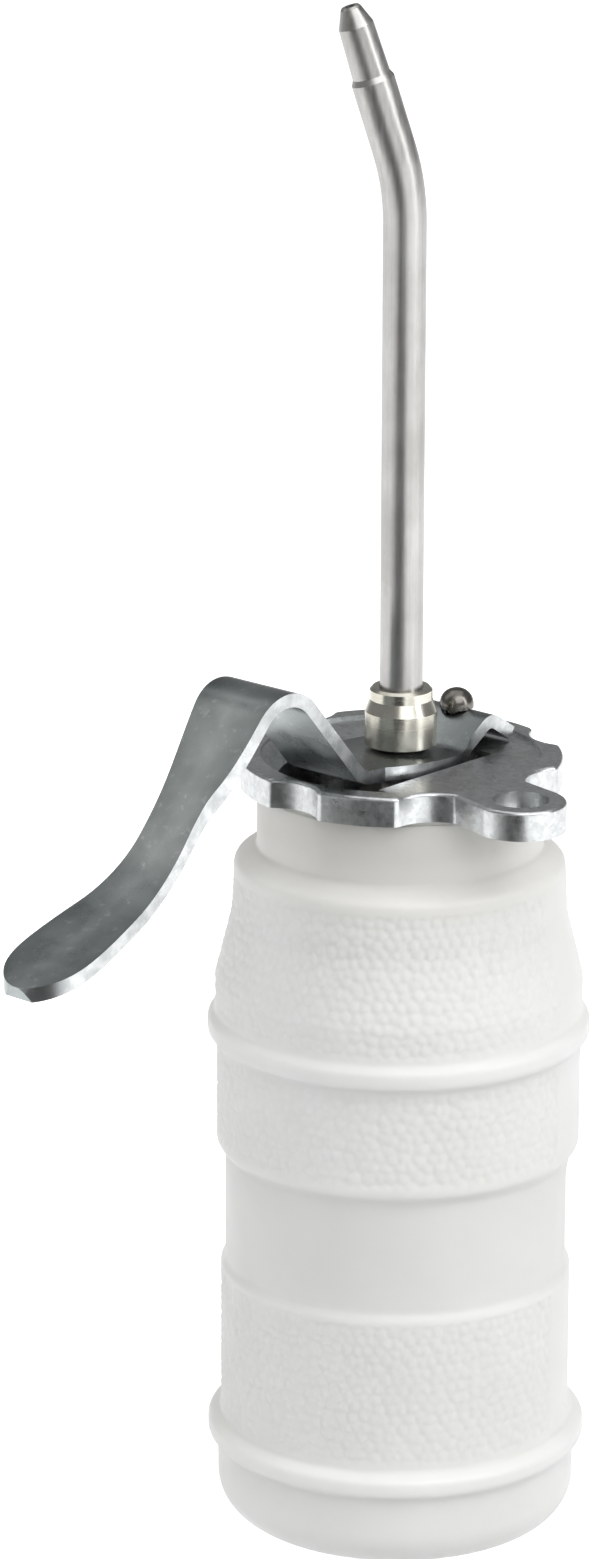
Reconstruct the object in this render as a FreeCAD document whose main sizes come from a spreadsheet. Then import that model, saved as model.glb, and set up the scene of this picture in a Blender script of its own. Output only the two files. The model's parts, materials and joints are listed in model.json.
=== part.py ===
"""Handy oiler can: a plastic oil bottle under a die-cast pump cap with a squeeze lever.

Millimetres, +Z up.  The origin is the centre of the bottle's foot, on the surface it stands on.
The squeeze lever lies in the XZ plane: its paddle points to -X, its fulcrum stud stands at +X.
Every driving dimension is a named cell of the sheet "Sizes", and each sub-part is bound to it.
"""
import FreeCAD, Part
import math
import os
import Sketcher
from FreeCAD import Placement, Rotation, Vector

SIZES = {
    # bottle: outside radii and heights, from the foot up
    "wall": 1.4, "foot_corner": 6.0, "foot_radius": 26.9, "base_thickness": 2.0,
    "bead_radius": 28.4, "bead_half": 2.1, "bead_ease": 0.9,
    "low_bead_height": 14.0, "high_bead_height": 77.6,
    "low_band_radius": 26.5, "plain_band_radius": 25.75, "mid_band_radius": 27.1,
    "plain_band_low": 39.8, "plain_band_high": 59.4,
    "barrel_radius": 27.3, "barrel_bend_height": 85.0, "taper_height": 95.0, "taper_ease": 0.4,
    "shoulder_radius": 24.45, "shoulder_height": 103.2, "shoulder_round": 1.8,
    "neck_radius": 21.1, "neck_bore": 19.7, "neck_foot_height": 104.9, "neck_height": 113.9,
    "sight_angle": 37.0, "sight_direction": -48.9, "sight_depth": 0.5,
    "sight_low": 17.0, "sight_high": 57.0,
    # cap: a lobed plate with a cup that drops into the neck
    "gasket_thickness": 0.7, "cap_rim": 118.9, "cap_lobe_radius": 23.8, "cap_lobes": 7,
    "scallop_radius": 6.5, "scallop_floor": 21.4, "rim_step_radius": 20.6, "rim_step": 0.5,
    "cup_radius": 18.1, "cup_slope": 3.2, "cup_depth": 9.0, "cup_floor": 2.5, "spigot_radius": 19.5,
    "ledge_edge": 9.8, "ledge_thickness": 3.7, "ledge_overlap": 0.2,
    "ledge_slot_half": 9.3, "ledge_near_reach": 15.4, "ledge_far_reach": 3.0,
    "cast_round": 0.5, "lobe_round": 1.2,
    "lug_reach": 29.2, "lug_end_radius": 6.6, "lug_root_half": 6.2, "lug_hole_radius": 4.1,
    # fulcrum stud and the point the lever rocks about
    "stud_reach": 12.5, "stud_shank": 1.6, "stud_head": 2.55, "stud_head_height": 2.9, "stud_dome": 2.4,
    "crest_height": 4.3, "crest_bend": 3.2,
    # lever: heights are above the cap rim, on the upper face of the sheet
    "lever_sheet": 2.0, "lever_inside_bend": 0.6, "lever_blank_depth": 60.0, "lever_half_width": 6.7,
    "lever_eye_hole": 3.75, "lever_stud_hole": 2.2, "pierce_depth": 10.0,
    "eye_front": 8.0, "eye_middle": 1.5, "eye_back": 11.0, "eye_half": 8.5,
    "waist_start": 32.0, "waist_reach": 47.0, "waist_half": 4.3,
    "flare_reach": 57.0, "flare_half": 5.0, "paddle_wide_reach": 69.5, "paddle_half": 6.7,
    "paddle_round_reach": 76.5, "paddle_round_half": 5.6,
    "tip_reach": 17.9, "ramp_angle": 33.0, "plate_height": 0.62,
    "plate_rise": 0.069, "hump_foot": 15.3, "hump_reach": 31.9, "hump_corner_height": 20.6,
    "hump_bend": 7.4, "knee_reach": 55.2, "knee_height": -7.2, "knee_bend": 27.0,
    "paddle_reach": 80.2, "paddle_end_height": -16.4,
    # plunger, its collar nut and the spout
    "rod_radius": 3.0, "rod_bore": 1.6, "rod_top": 5.4, "rod_bottom": -25.0,
    "collar_top": -1.7, "collar_thickness": 2.0, "collar_radius": 4.4, "collar_face": 3.6,
    "nut_radius": 5.3, "nut_bottom": 0.95, "nut_body_top": 6.5, "nut_shoulder": 8.3, "nut_top": 10.1,
    "nut_ring": 4.6, "nut_chamber": 4.1, "nut_lip": 8.3,
    "swivel_gap": 0.05, "washer_radius": 3.95, "washer_thickness": 0.9,
    "spout_radius": 3.15, "spout_bore": 2.2, "spout_flange": 3.9, "spout_flange_thickness": 1.7,
    "spout_bend_height": 78.6, "spout_bend_radius": 36.0, "spout_tilt": 17.5,
    "spout_direction": 141.0, "spout_end_run": 10.0,
    "nozzle_base": 2.75, "nozzle_shoulder": 2.55, "nozzle_tip": 1.5, "nozzle_bore": 0.7,
    "nozzle_length": 11.4, "nozzle_point": 2.9, "nozzle_plug": 5.0, "nozzle_collar": 1.1,
    # pump, hung from the cap floor
    "cylinder_radius": 6.0, "cylinder_bore": 4.5, "cylinder_flange": 8.0, "flange_thickness": 1.4,
    "cylinder_bottom": -46.0, "lock_nut_half": 8.5, "lock_nut_thickness": 3.0,
    "bush_head": 6.5, "bush_top": -5.9, "bush_bottom": -13.5, "running_gap": 0.05,
    "seal_thickness": 1.5, "piston_top": -20.0, "piston_bottom": -27.0, "piston_groove": 2.0,
    "piston_groove_height": -24.4, "piston_groove_radius": 3.7,
    "valve_body_top": -41.0, "valve_stub_radius": 2.9, "valve_stub_bottom": -53.0,
    "valve_passage": 1.1, "inlet_chamber": 1.9, "inlet_ball": 1.55, "inlet_ball_height": -43.83,
    "inlet_seat": -44.4, "stop_thickness": 0.8, "stop_hole": 1.0,
    "outlet_ball": 1.25, "outlet_passage": 0.8, "outlet_spring_length": 5.0,
    "outlet_stop_length": 2.0, "outlet_stop_hole": 0.8,
    "suction_radius": 4.0, "suction_top": -46.5, "suction_clearance": 6.0, "suction_slant": 45.0,
    "spring_radius": 3.7, "spring_wire": 0.45, "spring_turns": 6.0,
    "spring_play": 0.15,
    "valve_spring_radius": 1.2, "valve_spring_wire": 0.18, "valve_spring_turns": 7.0,
}

doc = FreeCAD.newDocument("oiler_can")
sheet = doc.addObject("Spreadsheet::Sheet", "Sizes")


def fill_sheet():
    """Write one row per driving dimension: its name in column A, its value in column B."""
    for row, (alias, value) in enumerate(SIZES.items(), start=1):
        sheet.set(f"A{row}", alias)
        sheet.set(f"B{row}", str(value))
        sheet.setAlias(f"B{row}", alias)
    doc.recompute()


def size(alias):
    """The current value of one cell."""
    return float(sheet.get(alias))


def above_rim(alias):
    """Expression for a height that the sheet gives relative to the cap rim."""
    return f"Sizes.cap_rim + Sizes.{alias}"


# ---------------------------------------------------------------- sketch and feature helpers

def new_body(label):
    body = doc.addObject("PartDesign::Body", label)
    body.Label = label
    return body


def origin_plane(body, role):
    return next(item for item in body.Origin.OriginFeatures if item.Role == role)


def new_sketch(body, role, name, lift=None, turn=None):
    """A sketch on one of the body's own planes, lifted along its normal or turned about it."""
    sketch = body.newObject("Sketcher::SketchObject", f"{body.Name}_{name}")
    sketch.AttachmentSupport = [(origin_plane(body, role), "")]
    sketch.MapMode = "FlatFace"
    if lift:
        sketch.setExpression("AttachmentOffset.Base.z", lift)
    if turn is not None:
        sketch.AttachmentOffset = Placement(Vector(), Rotation(Vector(0, 1, 0), turn))
    return sketch


def bind(sketch, constraint, expression):
    """Add a constraint whose value is the expression."""
    index = sketch.addConstraint(constraint)
    sketch.setExpression(f"Constraints[{index}]", expression)


def pin_point(sketch, geometry, corner, across, up):
    """Fix one point at (across, up); a coordinate of "0" lies on the axis."""
    if across == "0":
        sketch.addConstraint(Sketcher.Constraint("PointOnObject", geometry, corner, -2))
    else:
        value = sketch.evalExpression(across)
        bind(sketch, Sketcher.Constraint("DistanceX", -1, 1, geometry, corner, value), across)
    if up == "0":
        sketch.addConstraint(Sketcher.Constraint("PointOnObject", geometry, corner, -1))
    else:
        value = sketch.evalExpression(up)
        bind(sketch, Sketcher.Constraint("DistanceY", -1, 1, geometry, corner, value), up)


def draw_outline(sketch, corners):
    """A closed polygon whose corners are pairs of expressions."""
    spots = [Vector(sketch.evalExpression(x), sketch.evalExpression(y), 0) for x, y in corners]
    count = len(corners)
    for index in range(count):
        sketch.addGeometry(Part.LineSegment(spots[index], spots[(index + 1) % count]), False)
    for index in range(count):
        follower = (index + 1) % count
        sketch.addConstraint(Sketcher.Constraint("Coincident", index, 2, follower, 1))
    for index, (across, up) in enumerate(corners):
        pin_point(sketch, index, 1, across, up)


def draw_circle(sketch, radius, across="0", up="0"):
    centre = Vector(sketch.evalExpression(across), sketch.evalExpression(up), 0)
    value = sketch.evalExpression(radius)
    geometry = sketch.addGeometry(Part.Circle(centre, Vector(0, 0, 1), value), False)
    bind(sketch, Sketcher.Constraint("Radius", geometry, value), radius)
    pin_point(sketch, geometry, 3, across, up)


def revolve(body, name, corners, angle=None, cut=False, turn=None):
    """Turn an outline in the XZ plane about the Z axis, adding to the body or grooving it."""
    sketch = new_sketch(body, "XZ_Plane", f"{name}_outline", turn=turn)
    draw_outline(sketch, corners)
    kind = "PartDesign::Groove" if cut else "PartDesign::Revolution"
    feature = body.newObject(kind, f"{body.Name}_{name}")
    feature.Profile = sketch
    feature.ReferenceAxis = (sketch, ["V_Axis"])
    if angle:
        feature.setExpression("Angle", angle)
        feature.Midplane = True
    return feature


def pad(body, name, draw, base, length, downwards=False):
    """Pad what draw() puts in a level sketch at the height base."""
    sketch = new_sketch(body, "XY_Plane", f"{name}_outline", lift=base)
    draw(sketch)
    feature = body.newObject("PartDesign::Pad", f"{body.Name}_{name}")
    feature.Profile = sketch
    feature.setExpression("Length", length)
    feature.Reversed = downwards
    return feature


def pocket(body, name, draw, base, depth):
    """Cut downwards from a level sketch at the height base, and check that metal came off."""
    doc.recompute()
    before = body.Shape.Volume
    sketch = new_sketch(body, "XY_Plane", f"{name}_outline", lift=base)
    draw(sketch)
    feature = body.newObject("PartDesign::Pocket", f"{body.Name}_{name}")
    feature.Profile = sketch
    feature.setExpression("Length", depth)
    doc.recompute()
    if body.Shape.Volume >= before:
        raise RuntimeError(f"{feature.Name} cuts nothing")
    return feature


def repeat_round(body, name, feature, count):
    """Repeat a feature evenly about the Z axis."""
    pattern = body.newObject("PartDesign::PolarPattern", f"{body.Name}_{name}")
    pattern.Originals = [feature]
    pattern.Axis = (feature.Profile[0], ["N_Axis"])
    pattern.Angle = 360
    pattern.setExpression("Occurrences", count)
    body.Tip = pattern
    doc.recompute()
    return pattern


def round_edges(body, name, radius, chosen):
    """Fillet every edge of the body that chosen(edge) accepts."""
    doc.recompute()
    base = body.Tip
    names = [f"Edge{index}" for index, edge in enumerate(base.Shape.Edges, start=1) if chosen(edge)]
    if not names:
        raise RuntimeError(f"{body.Name}: no edge for {name}")
    fillet = body.newObject("PartDesign::Fillet", f"{body.Name}_{name}")
    fillet.Base = (base, names)
    fillet.setExpression("Radius", radius)
    doc.recompute()
    return fillet


def ring_edge(body, radius, height):
    """Chooser for the circular edge of one radius at one height, given as expressions."""
    wanted_radius = body.evalExpression(radius)
    wanted_height = body.evalExpression(height)

    def chosen(edge):
        curve = edge.Curve
        return (isinstance(curve, Part.Circle) and abs(curve.Radius - wanted_radius) < 0.01
                and abs(curve.Center.z - wanted_height) < 0.01)
    return chosen


def tube(label, outer, inner, top, bottom):
    """A plain ring or tube between two heights."""
    body = new_body(label)
    revolve(body, "wall", [(inner, bottom), (outer, bottom), (outer, top), (inner, top)])
    return body


def ball(label, radius, height):
    part = doc.addObject("Part::Sphere", label)
    part.Label = label
    part.setExpression("Radius", radius)
    part.setExpression("Placement.Base.z", height)
    return part


def coil_spring(label, radius, wire, turns, bottom, length):
    """A helical spring, a hair shorter than its seat: a round section swept along a helix."""
    rise = f"({length} - 2 * {wire} - 2 * Sizes.spring_play)"
    helix = doc.addObject("Part::Helix", f"{label}_helix")
    helix.setExpression("Radius", radius)
    helix.setExpression("Height", rise)
    helix.setExpression("Pitch", f"{rise} / {turns}")
    section = doc.addObject("Part::Circle", f"{label}_section")
    section.setExpression("Radius", wire)
    section.setExpression("Placement.Base.x", radius)
    section.Placement.Rotation = Rotation(Vector(1, 0, 0), 90)
    doc.recompute()
    sweep = doc.addObject("Part::Sweep", label)
    sweep.Label = label
    sweep.Sections = [section]
    sweep.Spine = (helix, ["Edge1"])
    sweep.Solid = True
    sweep.Frenet = True
    sweep.setExpression("Placement.Base.z", f"{bottom} + {wire} + Sizes.spring_play")
    return sweep


# ---------------------------------------------------------------- bottle and cap

def make_bottle():
    """Blow-moulded bottle: two beads, a plain waist band, a tapering barrel and an open neck."""
    body = new_body("bottle")
    low, high, half = "Sizes.low_bead_height", "Sizes.high_bead_height", "Sizes.bead_half"
    inner = "Sizes.plain_band_radius - Sizes.wall"
    inner_shoulder = "Sizes.shoulder_height - 2 * Sizes.wall"
    revolve(body, "shell", [
        ("0", "0"),
        ("Sizes.foot_radius", "0"),
        ("Sizes.foot_radius", f"{low} - {half}"),
        ("Sizes.bead_radius", f"{low} - {half} + Sizes.bead_ease"),
        ("Sizes.bead_radius", f"{low} + {half} - Sizes.bead_ease"),
        ("Sizes.low_band_radius", f"{low} + {half}"),
        ("Sizes.low_band_radius", "Sizes.plain_band_low"),
        ("Sizes.plain_band_radius", "Sizes.plain_band_low + 1"),
        ("Sizes.plain_band_radius", "Sizes.plain_band_high - 1.5"),
        ("Sizes.mid_band_radius", "Sizes.plain_band_high"),
        ("Sizes.mid_band_radius", f"{high} - {half}"),
        ("Sizes.bead_radius", f"{high} - {half} + Sizes.bead_ease"),
        ("Sizes.bead_radius", f"{high} + {half} - Sizes.bead_ease"),
        ("Sizes.barrel_radius", f"{high} + {half}"),
        ("Sizes.barrel_radius", "Sizes.barrel_bend_height"),
        ("Sizes.shoulder_radius + Sizes.taper_ease", "Sizes.taper_height"),
        ("Sizes.shoulder_radius", "Sizes.shoulder_height"),
        ("Sizes.neck_radius", "Sizes.neck_foot_height"),
        ("Sizes.neck_radius", "Sizes.neck_height"),
        ("Sizes.neck_bore", "Sizes.neck_height"),
        ("Sizes.neck_bore", inner_shoulder),
        ("Sizes.shoulder_radius - Sizes.wall", "Sizes.shoulder_height - 4 * Sizes.wall"),
        ("Sizes.shoulder_radius - Sizes.wall", "Sizes.taper_height"),
        (inner, "Sizes.barrel_bend_height"),
        (inner, "Sizes.base_thickness"),
        ("0", "Sizes.base_thickness"),
    ])
    sight = ("Sizes.low_band_radius - Sizes.sight_depth", "Sizes.plain_band_radius - Sizes.sight_depth")
    outside = "Sizes.bead_radius + 2"
    step = "Sizes.plain_band_low + 1"
    revolve(body, "sight_strip", [
        (sight[0], "Sizes.sight_low"), (outside, "Sizes.sight_low"),
        (outside, "Sizes.sight_high"), (sight[1], "Sizes.sight_high"),
        (sight[1], step), (sight[0], "Sizes.plain_band_low"),
    ], angle="Sizes.sight_angle", cut=True, turn=size("sight_direction"))
    round_edges(body, "foot_round", "Sizes.foot_corner", ring_edge(body, "Sizes.foot_radius", "0"))
    round_edges(body, "foot_inner_round", "Sizes.foot_corner - Sizes.wall",
                ring_edge(body, inner, "Sizes.base_thickness"))
    round_edges(body, "shoulder_rounding", "Sizes.shoulder_round",
                ring_edge(body, "Sizes.shoulder_radius", "Sizes.shoulder_height"))
    return body


def make_cap():
    """Die-cast cap: lobed grip plate, hanging lug, stepped recess and a cup that fills the neck."""
    body = new_body("cap")
    plate_bottom = "Sizes.neck_height + Sizes.gasket_thickness"
    plate = "Sizes.cap_rim - Sizes.neck_height - Sizes.gasket_thickness"
    cup_top = "Sizes.cap_rim - Sizes.rim_step - Sizes.cup_slope"
    cup_bottom = "Sizes.cap_rim - Sizes.cup_depth"
    pad(body, "plate", lambda sketch: draw_circle(sketch, "Sizes.cap_lobe_radius"), plate_bottom, plate)
    half_pitch = "180 deg / Sizes.cap_lobes"
    reach = "(Sizes.scallop_floor + Sizes.scallop_radius)"
    scallop = pocket(body, "scallop", lambda sketch: draw_circle(
        sketch, "Sizes.scallop_radius", f"{reach} * cos({half_pitch})", f"{reach} * sin({half_pitch})"),
        "Sizes.cap_rim", plate)
    repeat_round(body, "scallops", scallop, "Sizes.cap_lobes")
    pad(body, "lug", draw_lug, plate_bottom, plate)
    round_edges(body, "rim_rounding", "Sizes.lobe_round", is_upright)
    round_edges(body, "cast_rounding", "Sizes.cast_round", is_top_outline)
    spigot = f"{plate_bottom} - Sizes.cap_rim + Sizes.cup_depth + Sizes.cup_floor"
    pad(body, "spigot", lambda sketch: draw_circle(sketch, "Sizes.spigot_radius"), plate_bottom, spigot,
        downwards=True)
    revolve(body, "recess", [
        ("0", cup_bottom), ("Sizes.cup_radius", cup_bottom), ("Sizes.cup_radius", cup_top),
        ("Sizes.rim_step_radius", "Sizes.cap_rim - Sizes.rim_step"),
        ("Sizes.rim_step_radius", "Sizes.cap_rim + 1"), ("0", "Sizes.cap_rim + 1"),
    ], cut=True)
    pad(body, "ledge", draw_ledge, "Sizes.cap_rim - Sizes.rim_step", "Sizes.ledge_thickness",
        downwards=True)
    pocket(body, "cylinder_hole", lambda sketch: draw_circle(sketch, "Sizes.cylinder_radius"),
           cup_bottom, "Sizes.cup_floor + 1")
    pocket(body, "stud_hole", lambda sketch: draw_circle(sketch, "Sizes.stud_shank", "Sizes.stud_reach"),
           "Sizes.cap_rim", "Sizes.ledge_thickness + 1")
    pocket(body, "lug_hole", lambda sketch: draw_circle(
        sketch, "Sizes.lug_hole_radius", *lug_point("Sizes.lug_reach", "0")), "Sizes.cap_rim", plate)
    return body


def is_upright(edge):
    """True for the straight upright edges where two faces of the cap's rim meet."""
    ends = [vertex.Point for vertex in edge.Vertexes]
    return len(ends) == 2 and (ends[1] - ends[0]).cross(Vector(0, 0, 1)).Length < 0.001


def is_top_outline(edge):
    """True for the edges of the cap plate's upper outline."""
    return all(abs(vertex.Z - size("cap_rim")) < 0.001 for vertex in edge.Vertexes)


def lug_point(along, aside):
    """Expressions for a point along the lug's axis, which lies two lobes clockwise of the stud."""
    turn = "(-720 deg / Sizes.cap_lobes)"
    return (f"({along}) * cos{turn} - ({aside}) * sin{turn}",
            f"({along}) * sin{turn} + ({aside}) * cos{turn}")


def draw_lug(sketch):
    """The lug's outline: straight sides that open into a round end."""
    root, end = "Sizes.scallop_floor - 4", "Sizes.lug_reach"
    corners = [lug_point(root, "Sizes.lug_root_half"), lug_point(end, "Sizes.lug_end_radius"),
               lug_point(end, "-Sizes.lug_end_radius"), lug_point(root, "-Sizes.lug_root_half")]
    spots = [Vector(sketch.evalExpression(x), sketch.evalExpression(y), 0) for x, y in corners]
    tip_x, tip_y = lug_point("Sizes.lug_reach + Sizes.lug_end_radius", "0")
    tip = Vector(sketch.evalExpression(tip_x), sketch.evalExpression(tip_y), 0)
    sketch.addGeometry(Part.LineSegment(spots[0], spots[1]), False)
    arc = Part.Arc(spots[1], tip, spots[2])
    sketch.addGeometry(arc, False)
    sketch.addGeometry(Part.LineSegment(spots[2], spots[3]), False)
    sketch.addGeometry(Part.LineSegment(spots[3], spots[0]), False)
    centre_x, centre_y = lug_point(end, "0")
    pin_point(sketch, 1, 3, centre_x, centre_y)
    for geometry, corner in ((0, 0), (2, 2), (3, 3)):
        pin_point(sketch, geometry, 1, *corners[corner])
    pin_point(sketch, 0, 2, *corners[1])
    sketch.addConstraint(Sketcher.Constraint("Coincident", 2, 2, 3, 1))
    sketch.addConstraint(Sketcher.Constraint("Coincident", 3, 2, 0, 1))


def draw_ledge(sketch):
    """Metal left in the cup: a shelf under the tongue and an arm on each side of the lever's slot."""
    radius = "(Sizes.rim_step_radius + Sizes.ledge_overlap)"
    slot, edge = "Sizes.ledge_slot_half", "Sizes.ledge_edge"
    near, far = "-Sizes.ledge_near_reach", "-Sizes.ledge_far_reach"
    corners = [
        (far, f"sqrt({radius}^2 - Sizes.ledge_far_reach^2)"), (far, slot), (edge, slot),
        (edge, f"-{slot}"), (near, f"-{slot}"), (near, f"-sqrt({radius}^2 - Sizes.ledge_near_reach^2)"),
    ]
    spots = [Vector(sketch.evalExpression(x), sketch.evalExpression(y), 0) for x, y in corners]
    rim_radius = sketch.evalExpression(radius)
    for start, end in zip(spots, spots[1:]):
        sketch.addGeometry(Part.LineSegment(start, end), False)
    arc = sketch.addGeometry(Part.Arc(spots[-1], Vector(rim_radius, 0, 0), spots[0]), False)
    for index in range(4):
        sketch.addConstraint(Sketcher.Constraint("Coincident", index, 2, index + 1, 1))
    sketch.addConstraint(Sketcher.Constraint("Coincident", arc, 1, 4, 2))
    sketch.addConstraint(Sketcher.Constraint("Coincident", arc, 2, 0, 1))
    sketch.addConstraint(Sketcher.Constraint("Coincident", arc, 3, -1, 1))
    for index in (1, 2, 3, 4):
        pin_point(sketch, index, 1, *corners[index])
    bind(sketch, Sketcher.Constraint("Radius", arc, rim_radius), radius)
    bind(sketch, Sketcher.Constraint("DistanceX", -1, 1, 0, 1, spots[0].x), far)
    bind(sketch, Sketcher.Constraint("DistanceX", -1, 1, 4, 2, spots[5].x), near)


def make_stud():
    """Fulcrum stud: a shank riveted into the ledge, with a domed head over the lever's crest."""
    body = new_body("fulcrum_stud")
    head = "Sizes.cap_rim + Sizes.crest_height + Sizes.swivel_gap"
    bottom = "Sizes.cap_rim - Sizes.rim_step - Sizes.ledge_thickness"
    revolve(body, "turning", [
        ("0", bottom), ("Sizes.stud_shank", bottom), ("Sizes.stud_shank", head),
        ("Sizes.stud_head", head), ("Sizes.stud_head", f"{head} + Sizes.stud_head_height"),
        ("0", f"{head} + Sizes.stud_head_height"),
    ])
    round_edges(body, "dome", "Sizes.stud_dome",
                ring_edge(body, "Sizes.stud_head", f"{head} + Sizes.stud_head_height"))
    body.setExpression("Placement.Base.x", "Sizes.stud_reach")
    return body


# ---------------------------------------------------------------- lever

def bent_path(corners, bends):
    """A wire of straight runs through corners, each inner corner rounded to its bend radius."""
    edges = []
    start = corners[0]
    for before, corner, after, bend in zip(corners, corners[1:], corners[2:], bends):
        back, ahead = (before - corner).normalize(), (after - corner).normalize()
        half = back.getAngle(ahead) / 2
        reach = bend / math.tan(half)
        middle = corner + (back + ahead).normalize() * (bend / math.sin(half) - bend)
        first, last = corner + back * reach, corner + ahead * reach
        edges += [Part.LineSegment(start, first).toShape(), Part.Arc(first, middle, last).toShape()]
        start = last
    edges.append(Part.LineSegment(start, corners[-1]).toShape())
    return Part.Wire(edges)


def lever_corners():
    """Corners of the lever's upper face in the XZ plane, from the tongue's tip to the paddle's end."""
    rim = size("cap_rim")
    slope = math.tan(math.radians(size("ramp_angle")))
    crest_corner = size("crest_height") + size("crest_bend") * (
        1 / math.cos(math.radians(size("ramp_angle"))) - 1)
    stud = size("stud_reach")

    def plate(x):
        return size("plate_height") - size("plate_rise") * x

    foot = (stud * slope - crest_corner + size("plate_height")) / (slope + size("plate_rise"))
    heights = [
        (size("tip_reach"), crest_corner - (size("tip_reach") - stud) * slope),
        (stud, crest_corner),
        (foot, plate(foot)),
        (-size("hump_foot"), plate(-size("hump_foot"))),
        (-size("hump_reach"), size("hump_corner_height")),
        (-size("knee_reach"), size("knee_height")),
        (-size("paddle_reach"), size("paddle_end_height")),
    ]
    return [Vector(x, 0, rim + z) for x, z in heights]


def lever_plan():
    """A tall block of the lever's outline seen from above: tongue, eye, waist and rounded paddle."""
    depth, half = size("lever_blank_depth"), size("lever_half_width")
    height = size("cap_rim") - depth
    blank_end = size("tip_reach") + 1
    eye_front, eye_middle, eye_back = size("eye_front"), -size("eye_middle"), -size("eye_back")
    waist_start = -size("waist_start")

    def flank(sign):
        """One long side: straight tongue, swelling eye, and straight up to the waist."""
        edge, swell = sign * half, sign * size("eye_half")
        return [
            Part.LineSegment(Vector(blank_end, edge, height), Vector(eye_front, edge, height)),
            Part.Arc(Vector(eye_front, edge, height), Vector(eye_middle, swell, height),
                     Vector(eye_back, edge, height)),
            Part.LineSegment(Vector(eye_back, edge, height), Vector(waist_start, edge, height)),
        ]

    stations = [(waist_start, half), (-size("waist_reach"), size("waist_half")),
                (-size("flare_reach"), size("flare_half")),
                (-size("paddle_wide_reach"), size("paddle_half")),
                (-size("paddle_round_reach"), size("paddle_round_half"))]
    near_side = [Vector(x, y, height) for x, y in stations]
    far_side = [Vector(x, -y, height) for x, y in reversed(stations)]
    paddle = Part.BSplineCurve()
    paddle.interpolate(Points=near_side + [Vector(-size("paddle_reach"), 0, height)] + far_side,
                       InitialTangent=Vector(-1, 0, 0), FinalTangent=Vector(1, 0, 0))
    tongue_end = Part.LineSegment(Vector(blank_end, -half, height), Vector(blank_end, half, height))
    curves = [tongue_end] + flank(1) + [paddle] + flank(-1)[::-1]
    outline = Part.Wire([curve.toShape() for curve in curves])
    return Part.Face(outline).extrude(Vector(0, 0, 2 * depth))


def make_lever():
    """Pressed sheet lever: the bent profile, cut to its plan outline and pierced twice."""
    inner_bend = size("lever_sheet") + size("lever_inside_bend")
    path = bent_path(lever_corners(), [size("crest_bend"), inner_bend, inner_bend,
                                       size("hump_bend"), size("knee_bend")])
    sheet_face = path.makeOffset2D(-size("lever_sheet"), 2, True, True, False)
    if sheet_face.BoundBox.ZMin > path.BoundBox.ZMin - 0.5:
        sheet_face = path.makeOffset2D(size("lever_sheet"), 2, True, True, False)
    half = size("eye_half") + 1
    strip = sheet_face.extrude(Vector(0, 2 * half, 0))
    strip.translate(Vector(0, -half, 0))
    blank = strip.common(lever_plan())
    reach = size("pierce_depth")
    foot = size("cap_rim") - reach
    eye = Part.makeCylinder(size("lever_eye_hole"), 2 * reach, Vector(0, 0, foot))
    stud_hole = Part.makeCylinder(size("lever_stud_hole"), 2 * reach, Vector(size("stud_reach"), 0, foot))
    blank = blank.cut(eye).cut(stud_hole)
    lever = doc.addObject("Part::Feature", "lever")
    lever.Label = "lever"
    lever.Shape = blank.Solids[0]
    return lever


# ---------------------------------------------------------------- plunger and spout

def make_plunger_rod():
    """Hollow plunger rod with the collar that the lever pushes down on."""
    body = new_body("plunger_rod")
    bottom, top = above_rim("rod_bottom"), above_rim("rod_top")
    collar, thick = above_rim("collar_top"), "Sizes.collar_thickness"
    revolve(body, "turning", [
        ("Sizes.rod_bore", bottom), ("Sizes.rod_radius", bottom),
        ("Sizes.rod_radius", f"{collar} - {thick}"), ("Sizes.collar_radius", f"{collar} - {thick}"),
        ("Sizes.collar_radius", f"{collar} - 0.6"), ("Sizes.collar_face", collar),
        ("Sizes.rod_radius", collar), ("Sizes.rod_radius", top), ("Sizes.rod_bore", top),
    ])
    return body


def make_spout_nut():
    """Round collar nut: screwed on the rod, its lip holds the spout's flange down."""
    body = new_body("spout_nut")
    bottom, top = above_rim("nut_bottom"), above_rim("nut_top")
    seat, lip = above_rim("rod_top"), above_rim("nut_lip")
    revolve(body, "turning", [
        ("Sizes.rod_radius", bottom), ("Sizes.nut_radius - 1", bottom),
        ("Sizes.nut_radius", f"{bottom} + 0.6"), ("Sizes.nut_radius", above_rim("nut_body_top")),
        ("Sizes.nut_ring", above_rim("nut_shoulder")), ("Sizes.nut_ring", f"{top} - 0.4"),
        ("Sizes.nut_ring - 0.4", top),
        ("Sizes.spout_radius + Sizes.swivel_gap", top), ("Sizes.spout_radius + Sizes.swivel_gap", lip),
        ("Sizes.nut_chamber", lip), ("Sizes.nut_chamber", seat), ("Sizes.rod_radius", seat),
    ])
    return body


def spout_frame():
    """Rotation that carries the XZ plane into the plane the spout is bent in."""
    return Rotation(Vector(0, 0, 1), size("spout_direction"))


def spout_path():
    """The spout's centre line in its own XZ plane: a straight run, one bend and a short run."""
    tilt = math.radians(size("spout_tilt"))
    bend, rise = size("spout_bend_radius"), size("cap_rim") + size("spout_bend_height")
    base = size("cap_rim") + size("rod_top") + size("washer_thickness") + size("swivel_gap")
    run = size("spout_end_run")
    bend_end = Vector(bend * (1 - math.cos(tilt)), 0, rise + bend * math.sin(tilt))
    direction = Vector(math.sin(tilt), 0, math.cos(tilt))
    half = tilt / 2
    middle = Vector(bend * (1 - math.cos(half)), 0, rise + bend * math.sin(half))
    return base, rise, middle, bend_end, direction, bend_end + direction * run


def swept_rod(spine, start, radius):
    """A solid round bar of one radius along the spine, which sets off straight up from start."""
    ring = Part.Wire(Part.makeCircle(radius, start, Vector(0, 0, 1)))
    return spine.makePipeShell([ring], True, True)


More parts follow.
